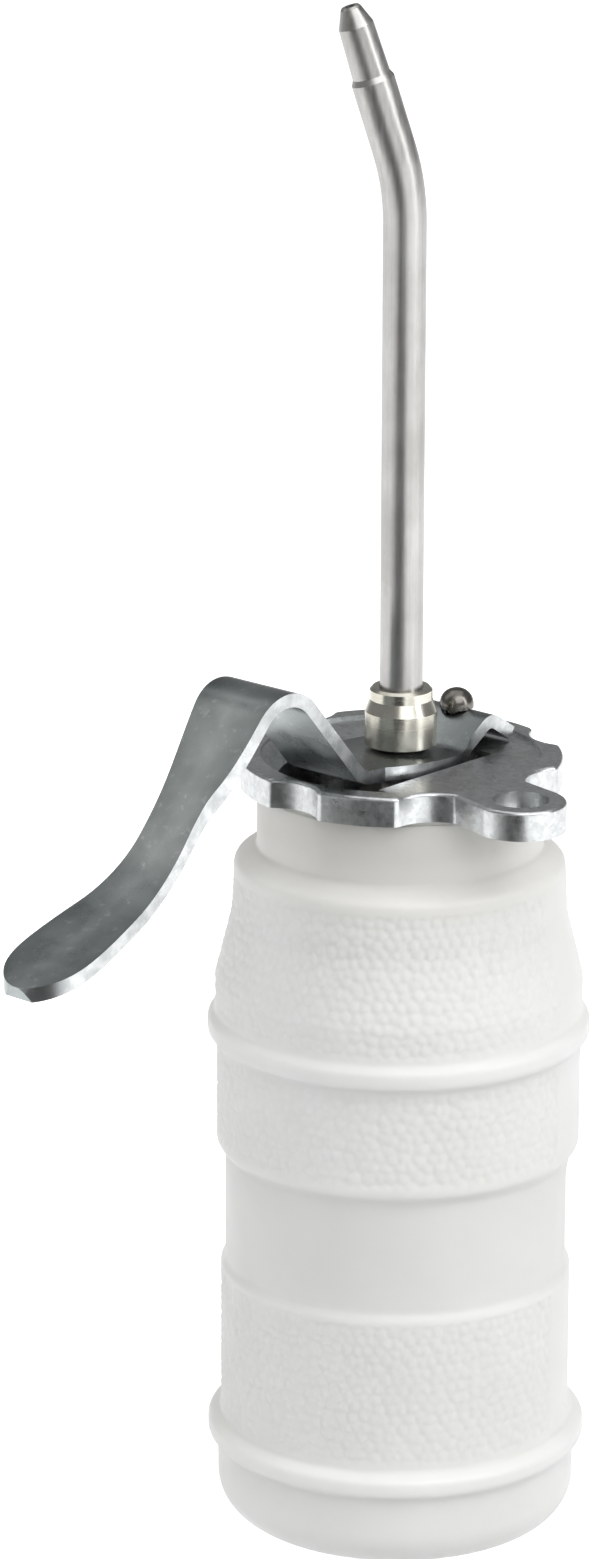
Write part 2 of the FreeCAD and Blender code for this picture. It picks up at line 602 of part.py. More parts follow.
def make_spout_tube():
    """Spout tube: swept along its bend, with the flange that turns inside the nut."""
    base, rise, middle, bend_end, _, end = spout_path()
    start, bend_start = Vector(0, 0, base), Vector(0, 0, rise)
    spine = Part.Wire([Part.LineSegment(start, bend_start).toShape(),
                       Part.Arc(bend_start, middle, bend_end).toShape(),
                       Part.LineSegment(bend_end, end).toShape()])
    flange = Part.makeCylinder(size("spout_flange"), size("spout_flange_thickness"), start)
    outside = swept_rod(spine, start, size("spout_radius")).fuse(flange)
    wall = outside.cut(swept_rod(spine, start, size("spout_bore")))
    tube_part = doc.addObject("Part::Feature", "spout_tube")
    tube_part.Label = "spout_tube"
    tube_part.Shape = wall.removeSplitter()
    tube_part.Placement = Placement(Vector(), spout_frame())
    return tube_part


def make_nozzle():
    """Pointed nozzle: a plug pressed into the tube's end, a collar and a tapering tip."""
    body = new_body("spout_nozzle")
    _, _, _, _, direction, end = spout_path()
    revolve(body, "turning", [
        ("Sizes.nozzle_bore", "-Sizes.nozzle_plug"), ("Sizes.spout_bore", "-Sizes.nozzle_plug"),
        ("Sizes.spout_bore", "0"), ("Sizes.spout_radius", "0"),
        ("Sizes.spout_radius", "0.3"), ("Sizes.spout_radius - 0.3", "Sizes.nozzle_collar - 0.2"),
        ("Sizes.nozzle_base", "Sizes.nozzle_collar"),
        ("Sizes.nozzle_shoulder", "Sizes.nozzle_length - Sizes.nozzle_point"),
        ("Sizes.nozzle_tip", "Sizes.nozzle_length - 0.3"),
        ("Sizes.nozzle_tip - 0.25", "Sizes.nozzle_length"),
        ("Sizes.nozzle_bore", "Sizes.nozzle_length"),
    ])
    tilt = Rotation(Vector(0, 1, 0), size("spout_tilt"))
    body.Placement = Placement(spout_frame().multVec(end), spout_frame().multiply(tilt))
    return body


# ---------------------------------------------------------------- pump

def make_pump_cylinder():
    """Pump barrel: hangs through the cap's floor by its top flange."""
    body = new_body("pump_cylinder")
    floor = "Sizes.cap_rim - Sizes.cup_depth"
    revolve(body, "turning", [
        ("Sizes.cylinder_bore", above_rim("cylinder_bottom")),
        ("Sizes.cylinder_radius", above_rim("cylinder_bottom")),
        ("Sizes.cylinder_radius", floor), ("Sizes.cylinder_flange", floor),
        ("Sizes.cylinder_flange", f"{floor} + Sizes.flange_thickness"),
        ("Sizes.cylinder_bore", f"{floor} + Sizes.flange_thickness"),
    ])
    return body


def make_lock_nut():
    """Hexagon nut that clamps the pump barrel against the underside of the cap."""
    body = new_body("cylinder_lock_nut")
    top = "Sizes.cap_rim - Sizes.cup_depth - Sizes.cup_floor"
    corner = "Sizes.lock_nut_half / cos(30 deg)"

    def draw(sketch):
        draw_outline(sketch, [(f"{corner} * cos({angle} deg)", f"{corner} * sin({angle} deg)")
                              for angle in (10, 70, 130, 190, 250, 310)])
    pad(body, "hexagon", draw, top, "Sizes.lock_nut_thickness", downwards=True)
    pocket(body, "bore", lambda sketch: draw_circle(sketch, "Sizes.cylinder_radius"), top,
           "Sizes.lock_nut_thickness")
    return body


def make_guide_bush():
    """Guide bush in the barrel's mouth: the plunger rod slides in it."""
    body = new_body("guide_bush")
    flange_top = "Sizes.cap_rim - Sizes.cup_depth + Sizes.flange_thickness"
    bore = "Sizes.rod_radius + Sizes.running_gap"
    revolve(body, "turning", [
        (bore, above_rim("bush_bottom")), ("Sizes.cylinder_bore", above_rim("bush_bottom")),
        ("Sizes.cylinder_bore", flange_top), ("Sizes.bush_head", flange_top),
        ("Sizes.bush_head", f"{above_rim('bush_top')} - 0.4"),
        ("Sizes.bush_head - 0.4", above_rim("bush_top")), (bore, above_rim("bush_top")),
    ])
    return body


def make_piston():
    """Piston: screwed on the rod's foot, grooved for its seal, bored as the outlet valve's seat."""
    body = new_body("piston")
    radius = "Sizes.cylinder_bore - Sizes.running_gap"
    top, bottom = above_rim("piston_top"), above_rim("piston_bottom")
    groove = above_rim("piston_groove_height")
    revolve(body, "turning", [
        ("Sizes.outlet_passage", bottom), (radius, bottom), (radius, groove),
        ("Sizes.piston_groove_radius", groove),
        ("Sizes.piston_groove_radius", f"{groove} + Sizes.piston_groove"),
        (radius, f"{groove} + Sizes.piston_groove"), (radius, top), ("Sizes.rod_radius", top),
        ("Sizes.rod_radius", above_rim("rod_bottom")),
        ("Sizes.outlet_passage", above_rim("rod_bottom")),
    ])
    return body


def make_inlet_valve_body():
    """Foot valve: pressed into the barrel, with a ball chamber above and a hose stub below."""
    body = new_body("inlet_valve_body")
    stub, foot = "Sizes.valve_stub_radius", above_rim("valve_stub_bottom")
    chamber, passage = "Sizes.inlet_chamber", "Sizes.valve_passage"
    revolve(body, "turning", [
        (passage, foot), (f"{stub} - 0.4", foot), (stub, f"{foot} + 1.2"),
        (stub, above_rim("cylinder_bottom")), ("Sizes.cylinder_bore", above_rim("cylinder_bottom")),
        ("Sizes.cylinder_bore", above_rim("valve_body_top")), (chamber, above_rim("valve_body_top")),
        (chamber, above_rim("inlet_seat")), (passage, f"{above_rim('inlet_seat')} - 0.6"),
    ])
    return body


def make_suction_tube():
    """Suction tube: pushed over the valve's stub, its foot cut at a slant near the bottle's floor."""
    body = new_body("suction_tube")
    top = above_rim("suction_top")
    pad(body, "wall", lambda sketch: (draw_circle(sketch, "Sizes.suction_radius"),
                                      draw_circle(sketch, "Sizes.valve_stub_radius")),
        top, f"{top} - Sizes.suction_clearance", downwards=True)
    doc.recompute()
    before = body.Shape.Volume
    sketch = new_sketch(body, "XZ_Plane", "slant_outline")
    radius, low = "Sizes.suction_radius", "Sizes.suction_clearance"
    rise = "2 * Sizes.suction_radius * tan(Sizes.suction_slant * 1 deg)"
    draw_outline(sketch, [(f"-{radius} - 1", f"{low} - 1"), (f"{radius} + 1", f"{low} - 1"),
                          (f"{radius} + 1", f"{low} + {rise} + 1")])
    slant = body.newObject("PartDesign::Pocket", "suction_slant_cut")
    slant.Profile = sketch
    slant.setExpression("Length", "4 * Sizes.suction_radius")
    slant.Midplane = True
    doc.recompute()
    if body.Shape.Volume >= before:
        raise RuntimeError("the suction tube's slant cuts nothing")
    return body


def make_small_pump_parts():
    """Seals, washers, stops, balls and springs: rings, spheres and coils of the pump."""
    gap = "Sizes.running_gap"
    neck_top = "Sizes.neck_height"
    seal_bottom = above_rim("piston_groove_height")
    ball_height = f"{above_rim('rod_bottom')} + Sizes.outlet_ball * 0.78"
    spring_foot = f"{ball_height} + Sizes.outlet_ball"
    stop_foot = f"{spring_foot} + Sizes.outlet_spring_length"
    return [
        tube("cap_gasket", "Sizes.neck_radius - 0.2", "Sizes.neck_bore",
             f"{neck_top} + Sizes.gasket_thickness", neck_top),
        tube("rod_seal", "Sizes.cylinder_bore", f"Sizes.rod_radius + {gap} / 2",
             above_rim("bush_bottom"), f"{above_rim('bush_bottom')} - Sizes.seal_thickness"),
        tube("piston_seal", f"Sizes.cylinder_bore - {gap} / 2", "Sizes.piston_groove_radius",
             f"{seal_bottom} + Sizes.piston_groove", seal_bottom),
        tube("spout_washer", "Sizes.washer_radius", "Sizes.rod_bore",
             f"{above_rim('rod_top')} + Sizes.washer_thickness", above_rim("rod_top")),
        tube("inlet_ball_stop", "Sizes.inlet_chamber", "Sizes.stop_hole",
             above_rim("valve_body_top"), f"{above_rim('valve_body_top')} - Sizes.stop_thickness"),
        tube("outlet_spring_stop", "Sizes.rod_bore", "Sizes.outlet_stop_hole",
             f"{stop_foot} + Sizes.outlet_stop_length", stop_foot),
        ball("inlet_ball", "Sizes.inlet_ball", above_rim("inlet_ball_height")),
        ball("outlet_ball", "Sizes.outlet_ball", ball_height),
        coil_spring("return_spring", "Sizes.spring_radius", "Sizes.spring_wire", "Sizes.spring_turns",
                    above_rim("valve_body_top"), "(Sizes.piston_bottom - Sizes.valve_body_top)"),
        coil_spring("outlet_spring", "Sizes.valve_spring_radius", "Sizes.valve_spring_wire",
                    "Sizes.valve_spring_turns", spring_foot, "Sizes.outlet_spring_length"),
    ]


def check_document(parts):
    """Stop if any object failed or any sub-part is empty or invalid."""
    for item in doc.Objects:
        if "Invalid" in item.State or "Error" in item.State:
            raise RuntimeError(f"{item.Name} failed: {item.State}")
    for part in parts:
        shape = part.Shape
        if shape.isNull() or not shape.isValid() or not shape.Solids:
            raise RuntimeError(f"{part.Label} has no valid solid")


def write_parts(parts):
    os.makedirs("parts", exist_ok=True)
    for part in parts:
        part.Shape.exportStep(f"parts/{part.Label}.step")


def main():
    fill_sheet()
    parts = [make_bottle(), make_cap(), make_stud(), make_lever(), make_plunger_rod(),
             make_spout_nut(), make_spout_tube(), make_nozzle(), make_pump_cylinder(),
             make_lock_nut(), make_guide_bush(), make_piston(), make_inlet_valve_body(),
             make_suction_tube()] + make_small_pump_parts()
    doc.recompute()
    check_document(parts)
    write_parts(parts)
    for part in parts:
        box = part.Shape.BoundBox
        print(f"{part.Label:20s} solids {len(part.Shape.Solids)}  volume {part.Shape.Volume:10.1f}  "
              f"z {box.ZMin:7.2f} to {box.ZMax:7.2f}")


main()
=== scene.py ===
"""Looks of the handy oiler can: materials, a pebbled bottle shell, soft studio light and the camera."""
import bpy
import json
import math
import random
import numpy
from mathutils import Matrix, Vector
from mathutils.bvhtree import BVHTree
from mathutils.kdtree import KDTree


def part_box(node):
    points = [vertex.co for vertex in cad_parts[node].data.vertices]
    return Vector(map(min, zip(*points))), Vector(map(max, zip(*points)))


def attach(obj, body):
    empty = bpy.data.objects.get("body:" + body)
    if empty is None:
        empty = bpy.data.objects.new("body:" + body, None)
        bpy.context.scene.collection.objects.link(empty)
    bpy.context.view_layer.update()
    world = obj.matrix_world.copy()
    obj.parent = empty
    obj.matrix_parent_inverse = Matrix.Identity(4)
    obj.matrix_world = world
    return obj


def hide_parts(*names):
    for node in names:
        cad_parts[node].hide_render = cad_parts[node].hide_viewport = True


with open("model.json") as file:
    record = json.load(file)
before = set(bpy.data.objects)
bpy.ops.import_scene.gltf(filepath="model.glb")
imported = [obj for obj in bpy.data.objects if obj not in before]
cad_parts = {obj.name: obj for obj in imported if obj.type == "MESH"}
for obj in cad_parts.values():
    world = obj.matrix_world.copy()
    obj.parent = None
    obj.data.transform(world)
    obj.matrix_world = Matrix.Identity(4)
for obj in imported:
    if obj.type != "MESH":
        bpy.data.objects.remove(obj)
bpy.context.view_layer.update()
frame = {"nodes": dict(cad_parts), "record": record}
MM = 0.001

# Camera: how far it stands round from the lever's own side view, its distance in metres from a point on
# the can's axis at RANGE_HEIGHT, and the point it aims at, aside of the axis and above the foot.
CAMERA_TURN = math.radians(-48.9)
CAMERA_RANGE = 0.859
CAMERA_ELEVATION = math.radians(20.05)
CAMERA_ROLL = math.radians(0.15)
RANGE_HEIGHT = 0.060
AIM_ASIDE = -0.0154
AIM_HEIGHT = 0.1146
LENS = 88.3
SENSOR_HEIGHT = 24.0

FLOOR_HALF = 4.0
LIGHT_HEIGHT = 0.11

# Strength of the room's light from above the horizon, and from below it.
ROOM_STRENGTH = 0.26
BOUNCE_STRENGTH = 0.80

# The black card's corners in metres: (to the camera's right, away from the camera).
FLAG_CORNERS = ((-0.75, -1.60), (0.22, -1.60), (0.06, -0.10), (-0.30, -0.10))

# Bottle bands that carry the pebble grain: (lowest, highest) heights in millimetres.
PEBBLE_BANDS = ((16.8, 39.4), (60.2, 75.2), (80.2, 101.6))
PEBBLE_SIZE = 1.75 * MM
PEBBLE_DEPTH = 0.30 * MM
GRAIN_RADIUS = 26.5 * MM
GRAIN_FADE = 0.9

# The sight strip runs up the bottle: direction of its middle, half angles of the smooth plastic round it
# and of the strip, its heights in millimetres, and its depth. A groove runs along each of its sides.
SIGHT_DIRECTION = math.radians(-48.9)
SMOOTH_HALF_ANGLE = math.radians(29)
SIGHT_HALF_ANGLE = math.radians(18.5)
SIGHT_HEIGHTS = (16.5, 57.5)
SIGHT_DEPTH = 0.45 * MM
SIGHT_BORDER_DEPTH = 0.30 * MM
SIGHT_BORDER_WIDTH = 0.045

SHELL_COLUMNS = 600
SHELL_STEP = 0.30 * MM
SHELL_INNER_ROWS = 120
INNER_FLOOR = 2.05 * MM
END_GAP = 0.02 * MM


def turned(right, away, up):
    """A point given to the camera's right, away from it and up, in the model's frame."""
    return Matrix.Rotation(CAMERA_TURN, 4, "Z") @ Vector((right, away, up))


# ---------------------------------------------------------------- camera, light and floor

def add_camera():
    """A long lens that looks down on the can, aimed left of its axis to take in the paddle."""
    data = bpy.data.cameras.new("camera")
    data.sensor_fit = "VERTICAL"
    data.sensor_height = SENSOR_HEIGHT
    data.lens = LENS
    data.clip_start = 0.05
    camera = bpy.data.objects.new("camera", data)
    bpy.context.collection.objects.link(camera)
    reach = CAMERA_RANGE * math.cos(CAMERA_ELEVATION)
    eye = turned(0, -reach, RANGE_HEIGHT + CAMERA_RANGE * math.sin(CAMERA_ELEVATION))
    aim = turned(AIM_ASIDE, 0, AIM_HEIGHT)
    look = (aim - eye).to_track_quat("-Z", "Y").to_matrix().to_4x4()
    camera.matrix_world = Matrix.Translation(eye) @ look @ Matrix.Rotation(CAMERA_ROLL, 4, "Z")
    bpy.context.scene.camera = camera


def add_softbox(name, place, target, width, height, power, tint=(1, 1, 1)):
    data = bpy.data.lights.new(name, "AREA")
    data.shape = "RECTANGLE"
    data.size = width
    data.size_y = height
    data.energy = power
    data.color = tint
    lamp = bpy.data.objects.new(name, data)
    bpy.context.collection.objects.link(lamp)
    lamp.location = place
    lamp.rotation_euler = (target - place).to_track_quat("-Z", "Y").to_euler()
    return lamp


def add_studio():
    """Floor, room light, five softboxes and the black card."""
    add_floor()
    add_room()
    middle = Vector((0, 0, LIGHT_HEIGHT))
    add_softbox("key", turned(0.75, -0.35, 0.55), middle, 0.22, 0.9, 3.1)
    add_softbox("fill", turned(-0.90, 0.13, 0.92), middle, 0.5, 0.8, 0.9, (1.0, 0.99, 0.97))
    add_softbox("top", turned(0.0, 0.2, 2.4), middle, 2.6, 2.6, 21.0)
    add_softbox("front", turned(0.45, -1.1, 1.25), middle, 1.4, 1.4, 14.0)
    wash = add_softbox("wash", turned(-1.3, -0.6, 0.5), middle, 1.2, 1.2, 5.5)
    wash.visible_glossy = False
    add_flag()
    bpy.context.scene.view_settings.view_transform = "Standard"


def add_sheet(name, corners):
    """A flat four-cornered sheet."""
    mesh = bpy.data.meshes.new(name)
    mesh.from_pydata(corners, [], [(0, 1, 2, 3)])
    sheet = bpy.data.objects.new(name, mesh)
    bpy.context.collection.objects.link(sheet)
    return sheet


def matte(name, base, roughness):
    material = bpy.data.materials.new(name)
    material.use_nodes = True
    shader = material.node_tree.nodes["Principled BSDF"]
    shader.inputs["Base Color"].default_value = (base, base, base, 1)
    shader.inputs["Roughness"].default_value = roughness
    shader.inputs["Specular IOR Level"].default_value = 0.0
    return material, shader


def add_floor():
    """Pale floor that glows a little. Diffuse rays pass it, so it casts no light up on the can."""
    half = FLOOR_HALF
    floor = add_sheet("floor", [(-half, -half, 0), (half, -half, 0), (half, half, 0), (-half, half, 0)])
    paper, shader = matte("paper", 0.93, 0.9)
    shader.inputs["Emission Color"].default_value = (1, 1, 1, 1)
    shader.inputs["Emission Strength"].default_value = 0.70
    floor.data.materials.append(paper)
    floor.visible_diffuse = False


def add_room():
    """Room light: even above, and brighter from below, where it stands for the bounce off a table."""
    world = bpy.data.worlds.new("room")
    world.use_nodes = True
    tree = world.node_tree
    direction = tree.nodes.new("ShaderNodeTexCoord").outputs["Generated"]
    split = tree.nodes.new("ShaderNodeSeparateXYZ")
    tree.links.new(direction, split.inputs["Vector"])
    level = tree.nodes.new("ShaderNodeMapRange")
    level.inputs["From Min"].default_value = -0.15
    level.inputs["From Max"].default_value = 0.05
    level.inputs["To Min"].default_value = BOUNCE_STRENGTH
    level.inputs["To Max"].default_value = ROOM_STRENGTH
    tree.links.new(split.outputs["Z"], level.inputs["Value"])
    background = tree.nodes["Background"]
    background.inputs["Color"].default_value = (0.94, 0.95, 0.95, 1)
    tree.links.new(level.outputs["Result"], background.inputs["Strength"])
    bpy.context.scene.world = world


def add_flag():
    """A black card lying before the can: only reflections see it, and it gives the metal its darks."""
    flag = add_sheet("flag", [tuple(turned(right, away, 0.001)) for right, away in FLAG_CORNERS])
    for ray in ("camera", "diffuse", "transmission", "volume_scatter", "shadow"):
        setattr(flag, f"visible_{ray}", False)
    card, _ = matte("black_card", 0.03, 1.0)
    flag.data.materials.append(card)


# ---------------------------------------------------------------- materials

class Finish:
    """A Principled material and short calls for the nodes that vary it over the surface."""

    def __init__(self, name):
        self.material = bpy.data.materials.new(name)
        self.material.use_nodes = True
        self.tree = self.material.node_tree
        self.shader = self.tree.nodes["Principled BSDF"]
        self.place = self.tree.nodes.new("ShaderNodeTexCoord").outputs["Object"]

    def set(self, **values):
        for name, value in values.items():
            self.shader.inputs[name.replace("_", " ")].default_value = value
        return self

    def stretched(self, scale):
        node = self.tree.nodes.new("ShaderNodeMapping")
        node.inputs["Scale"].default_value = scale
        self.tree.links.new(self.place, node.inputs["Vector"])
        return node.outputs["Vector"]

    def across(self, axis):
        """Distance in metres along one of the model's axes."""
        node = self.tree.nodes.new("ShaderNodeSeparateXYZ")
        self.tree.links.new(self.place, node.inputs["Vector"])
        return node.outputs[axis]

    def facing(self, axis):
        """How squarely the surface faces along one of the model's axes, from -1 to 1."""
        node = self.tree.nodes.new("ShaderNodeSeparateXYZ")
        source = self.tree.nodes.new("ShaderNodeTexCoord").outputs["Normal"]
        self.tree.links.new(source, node.inputs["Vector"])
        return node.outputs[axis]

    def size_of(self, source):
        """A value without its sign."""
        node = self.tree.nodes.new("ShaderNodeMath")
        node.operation = "ABSOLUTE"
        self.tree.links.new(source, node.inputs[0])
        return node.outputs["Value"]

    def noise(self, scale, detail=3.0, roughness=0.55, stretch=None):
        node = self.tree.nodes.new("ShaderNodeTexNoise")
        node.inputs["Scale"].default_value = scale
        node.inputs["Detail"].default_value = detail
        node.inputs["Roughness"].default_value = roughness
        source = self.stretched(stretch) if stretch else self.place
        self.tree.links.new(source, node.inputs["Vector"])
        return node.outputs["Fac"]

    def cells(self, scale):
        node = self.tree.nodes.new("ShaderNodeTexVoronoi")
        node.inputs["Scale"].default_value = scale
        self.tree.links.new(self.place, node.inputs["Vector"])
        return node.outputs["Color"]

    def ramp(self, source, *stops):
        """Map a 0 to 1 value to colours; each stop is (position, colour)."""
        node = self.tree.nodes.new("ShaderNodeValToRGB")
        bar = node.color_ramp
        while len(bar.elements) < len(stops):
            bar.elements.new(0.5)
        for element, (position, colour) in zip(bar.elements, stops):
            element.position = position
            element.color = (*colour, 1)
        self.tree.links.new(source, node.inputs["Fac"])
        return node.outputs["Color"]

    def span(self, source, low, high, from_low=0.3, from_high=0.7):
        node = self.tree.nodes.new("ShaderNodeMapRange")
        node.inputs["From Min"].default_value = from_low
        node.inputs["From Max"].default_value = from_high
        node.inputs["To Min"].default_value = low
        node.inputs["To Max"].default_value = high
        self.tree.links.new(source, node.inputs["Value"])
        return node.outputs["Result"]

    def blend(self, amount, first, second, mode="MIX"):
        node = self.tree.nodes.new("ShaderNodeMix")
        node.data_type = "RGBA"
        node.blend_type = mode
        if isinstance(amount, float):
            node.inputs["Factor"].default_value = amount
        else:
            self.tree.links.new(amount, node.inputs["Factor"])
        # The node repeats its socket names for each data type: 6 and 7 in and 2 out are the colours.
        self.tree.links.new(first, node.inputs[6])
        self.tree.links.new(second, node.inputs[7])
        return node.outputs[2]

    def drive(self, socket, source):
        self.tree.links.new(source, self.shader.inputs[socket])

    def bump(self, source, strength, distance):
        node = self.tree.nodes.new("ShaderNodeBump")
        node.inputs["Strength"].default_value = strength
        node.inputs["Distance"].default_value = distance
        self.tree.links.new(source, node.inputs["Height"])
        self.tree.links.new(node.outputs["Normal"], self.shader.inputs["Normal"])


def milky_plastic():
    """Translucent polyethylene: warm white, faintly cloudy, and darker up the neck towards the cap, where
    the shade of the cap and of the metal inside it is painted in.
    """
    look = Finish("milky_plastic")
    look.set(Roughness=0.42, IOR=1.52, Subsurface_Weight=0.8, Subsurface_Scale=0.0030,
             Subsurface_Radius=(0.95, 0.97, 1.0), Specular_IOR_Level=0.5)
    cloud = look.noise(45.0, 4.0)
    body = look.ramp(cloud, (0.30, (0.80, 0.795, 0.775)), (0.70, (0.85, 0.85, 0.84)))
    # Painted shade: the base colour darkens up the neck towards the cap, standing in for the shade of the
    # cap and the metal spout inside it.
    height = look.span(look.across("Z"), 0.0, 1.0, 0.098, 0.109)
    painted_neck_shade = look.ramp(height, (0.0, (1.0, 1.0, 1.0)), (1.0, (0.86, 0.845, 0.82)))
    look.drive("Base Color", look.blend(1.0, body, painted_neck_shade, "MULTIPLY"))
    look.drive("Roughness", look.span(look.noise(240.0, 3.0), 0.36, 0.50))
    look.bump(look.noise(1500.0, 4.0), 0.10, 0.10 * MM)
    return look.material


def sheet_zinc():
    """Blue-grey zinc plate: lighter along the middle and darker towards the long sides, a painted sheen
    for the crowned strap, with a painted highlight on the cut edges.
    """
    look = Finish("sheet_zinc").set(Metallic=1.0)
    cloud = look.noise(90.0, 5.0, 0.6)
    face = look.ramp(cloud, (0.30, (0.29, 0.315, 0.315)), (0.72, (0.39, 0.415, 0.415)))
    speck = look.noise(700.0, 2.0, 0.7)
    flecks = look.ramp(speck, (0.60, (0, 0, 0)), (0.78, (0.14, 0.15, 0.15)))
    face = look.blend(1.0, face, flecks, "ADD")
    # Painted sheen: the base colour is lightest along the middle and darker towards the sides, standing
    # in for the light on a crowned strap.
    aside = look.span(look.size_of(look.across("Y")), 0.0, 1.0, 0.0, 7.5 * MM)
    painted_crown_sheen = look.ramp(aside, (0.0, (1.0, 1.0, 1.0)), (1.0, (0.62, 0.63, 0.63)))
    face = look.blend(1.0, face, painted_crown_sheen, "MULTIPLY")
    # Painted highlight: the sides facing along Y, which are the cut edges of the sheet, get a lighter,
    # mottled base colour for the light they catch.
    edge_highlight_mask = look.span(look.size_of(look.facing("Y")), 0.0, 1.0, 0.35, 0.80)
    highlight_mottle = look.noise(500.0, 4.0)
    painted_edge_highlight = look.ramp(highlight_mottle, (0.35, (0.42, 0.435, 0.44)), (0.65, (0.60, 0.615, 0.62)))
    look.drive("Base Color", look.blend(edge_highlight_mask, face, painted_edge_highlight))
    look.drive("Roughness", look.span(look.noise(260.0, 4.0), 0.24, 0.38))
    look.bump(look.noise(900.0, 4.0, 0.6), 0.12, 0.05 * MM)
    return look.material


def cast_zinc():
    """Die-cast zinc: fine crystals of slightly differing brightness and a faintly pitted skin."""
    look = Finish("cast_zinc").set(Metallic=1.0)
    spangle = look.ramp(look.cells(1500.0), (0.15, (0.54, 0.55, 0.555)), (0.90, (0.68, 0.695, 0.70)))
    cloud = look.ramp(look.noise(120.0, 6.0, 0.65), (0.30, (0.80, 0.80, 0.79)), (0.70, (0.98, 0.99, 1.0)))
    look.drive("Base Color", look.blend(1.0, spangle, cloud, "MULTIPLY"))
    look.drive("Roughness", look.span(look.noise(700.0, 4.0), 0.26, 0.38))
    look.bump(look.noise(1500.0, 4.0, 0.7), 0.22, 0.06 * MM)
    return look.material


def drawn_steel():
    """Spout tube: satin steel with long faint drawing streaks and small stains."""
    look = Finish("drawn_steel").set(Metallic=1.0)
    streak = look.noise(1.0, 4.0, 0.6, stretch=(1300.0, 1300.0, 14.0))
    stain = look.noise(160.0, 4.0, 0.65, stretch=(1.0, 1.0, 0.5))
    lines = look.ramp(streak, (0.30, (0.42, 0.415, 0.405)), (0.70, (0.55, 0.545, 0.54)))
    spots = look.ramp(stain, (0.35, (0.80, 0.79, 0.78)), (0.62, (1.0, 1.0, 1.0)))
    look.drive("Base Color", look.blend(1.0, lines, spots, "MULTIPLY"))
    look.drive("Roughness", look.span(streak, 0.30, 0.42))
    look.bump(streak, 0.12, 0.05 * MM)
    return look.material


def turned_nickel():
    """Nickel plate on turned brass: faintly yellow, with fine rings from the lathe."""
    look = Finish("turned_nickel").set(Metallic=1.0)
    rings = look.noise(1.0, 2.0, 0.5, stretch=(12.0, 12.0, 3200.0))
    stain = look.noise(160.0, 4.0, 0.6)
    look.drive("Base Color", look.ramp(stain, (0.32, (0.52, 0.50, 0.43)), (0.68, (0.66, 0.64, 0.58))))
    look.drive("Roughness", look.span(rings, 0.22, 0.28))
    look.bump(rings, 0.03, 0.01 * MM)
    return look.material


def dark_polish():
    """Polished dark steel of the stud's head and the valve balls."""
    look = Finish("dark_polish").set(Metallic=1.0)
    shade = look.noise(500.0, 3.0)
    look.drive("Base Color", look.ramp(shade, (0.3, (0.14, 0.13, 0.12)), (0.7, (0.21, 0.20, 0.185))))
    look.drive("Roughness", look.span(look.noise(900.0, 3.0), 0.20, 0.32))
    return look.material


def turned_brass():
    """Pump parts: brass with lathe rings and a little tarnish."""
    look = Finish("turned_brass").set(Metallic=1.0)
    rings = look.noise(1.0, 2.0, 0.5, stretch=(40.0, 40.0, 4200.0))
    tarnish = look.noise(180.0, 4.0, 0.6)
    look.drive("Base Color", look.ramp(tarnish, (0.3, (0.42, 0.29, 0.12)), (0.7, (0.72, 0.54, 0.26))))
    look.drive("Roughness", look.span(rings, 0.24, 0.38))
    look.bump(rings, 0.15, 0.05 * MM)
    return look.material


def black_rubber():
    """Seals: dull black rubber with a fine grain."""
    look = Finish("black_rubber")
    grain = look.noise(1800.0, 3.0)
    look.drive("Base Color", look.ramp(grain, (0.3, (0.018, 0.018, 0.019)), (0.7, (0.035, 0.035, 0.037))))
    look.drive("Roughness", look.span(grain, 0.5, 0.68))
    look.bump(grain, 0.2, 0.04 * MM)
    return look.material


def clear_hose():
    """Natural polyethylene hose, tinted a little by oil."""
    look = Finish("clear_hose")
    look.set(Subsurface_Weight=0.6, Subsurface_Scale=0.003, Subsurface_Radius=(1.0, 0.9, 0.7), IOR=1.5)
    haze = look.noise(160.0, 3.0)
    look.drive("Base Color", look.ramp(haze, (0.3, (0.78, 0.75, 0.64)), (0.7, (0.86, 0.85, 0.78))))
    look.drive("Roughness", look.span(haze, 0.28, 0.42))
    return look.material


def spring_wire():
    """Springs: plain drawn steel wire."""
    look = Finish("spring_wire").set(Metallic=1.0)
    shade = look.noise(900.0, 3.0)
    look.drive("Base Color", look.ramp(shade, (0.3, (0.30, 0.30, 0.31)), (0.7, (0.46, 0.46, 0.47))))
    look.drive("Roughness", look.span(look.noise(1400.0, 2.0), 0.28, 0.42))
    return look.material


def paint_nodes(finishes):
    """Give every CAD node the finish of its record slot."""
    for entry in frame["record"]["subparts"]:
        node = frame["nodes"][entry["node"]]
        node.data.materials.clear()
        node.data.materials.append(finishes[entry["material_slot"]])


def soften_edges(names, width, segments=3):
    """Round the crisp edges of turned and pressed CAD parts with a narrow bevel."""
    for name in names:
        bevel = frame["nodes"][name].modifiers.new("edge_round", "BEVEL")
        bevel.width = width
        bevel.segments = segments
        bevel.limit_method = "ANGLE"
        bevel.angle_limit = math.radians(35)


# ---------------------------------------------------------------- bottle shell

def ray_radii(tree, heights, direction, inside):
    """Radius at which a level ray meets the CAD bottle, for each height."""
    side = Vector((math.cos(direction), math.sin(direction), 0))
    radii = []
    for height in heights:
        centre = Vector((0, 0, height))
        if inside:
            hit = tree.ray_cast(centre, side)[0]
        else:
            hit = tree.ray_cast(centre + side * 0.1, -side)[0]
        radii.append(math.hypot(hit.x, hit.y))
    return numpy.array(radii)


def smoothed(values, width):
    """Moving average with fixed ends: it rounds the corners of an outline."""
    kernel = numpy.hanning(2 * width + 3)[1:-1]
    kernel /= kernel.sum()
    padded = numpy.concatenate([numpy.full(width, values[0]), values, numpy.full(width, values[-1])])
    return numpy.convolve(padded, kernel, "valid")


def ease(value, low, high):
    """Smooth step from 0 at low to 1 at high."""
    part = numpy.clip((value - low) / (high - low), 0, 1)
    return part * part * (3 - 2 * part)


def angle_from_sight(angles):
    """Unsigned angle round the bottle from the middle of the sight strip."""
    return numpy.abs((angles - SIGHT_DIRECTION + math.pi) % (2 * math.pi) - math.pi)


